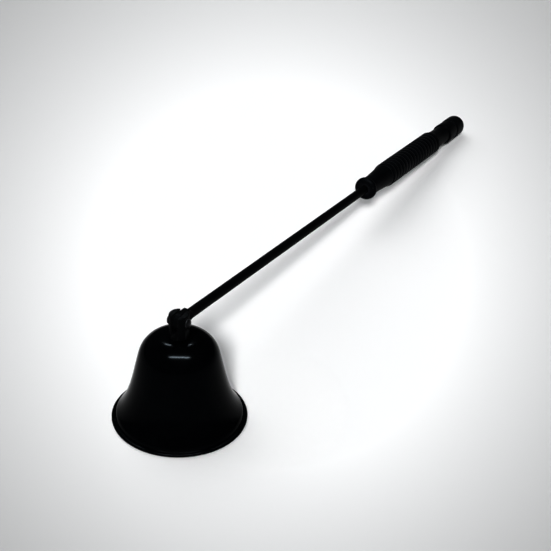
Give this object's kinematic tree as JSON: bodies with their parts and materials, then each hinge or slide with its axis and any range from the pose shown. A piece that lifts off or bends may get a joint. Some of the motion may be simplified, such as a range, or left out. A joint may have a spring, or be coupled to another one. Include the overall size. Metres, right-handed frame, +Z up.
{
  "type": "candle snuffer",
  "caption": "Bell-shaped candle snuffer: a black metal bell hinged on a slotted post at the end of a long rod with a ribbed, turned handle.",
  "frame": {"origin": "on the table, under the middle of the whole object's box at rest, with the bell on its rim and the end knob on the table", "axes": "+X runs from the bell to the end knob, +Z is up, and +Y is to the left when looking along +X; the XZ plane is the mirror plane"},
  "size_m": [0.246, 0.04, 0.0358],
  "materials": {
    "bell_enamel": "satin black enamel",
    "rod_enamel": "satin black enamel",
    "handle_enamel": "smooth gloss black enamel",
    "dark_steel": "blackened steel"
  },
  "bodies": {
    "bell": {"bell": "bell_enamel", "slotted_post": "bell_enamel", "inner_washer": "dark_steel", "post_nut": "dark_steel", "pivot_pin": "dark_steel"},
    "handle": {"rod": "rod_enamel", "collar": "handle_enamel", "grip": "handle_enamel", "end_ring": "handle_enamel", "end_knob": "handle_enamel"}
  },
  "joints": [
    {"name": "bell_pivot", "type": "hinge", "parent": "bell", "child": "handle", "pos_m": [-0.10304, 0, 0.0333], "axis": [0, -1, 0], "range_deg": [-18, 213]}
  ]
}
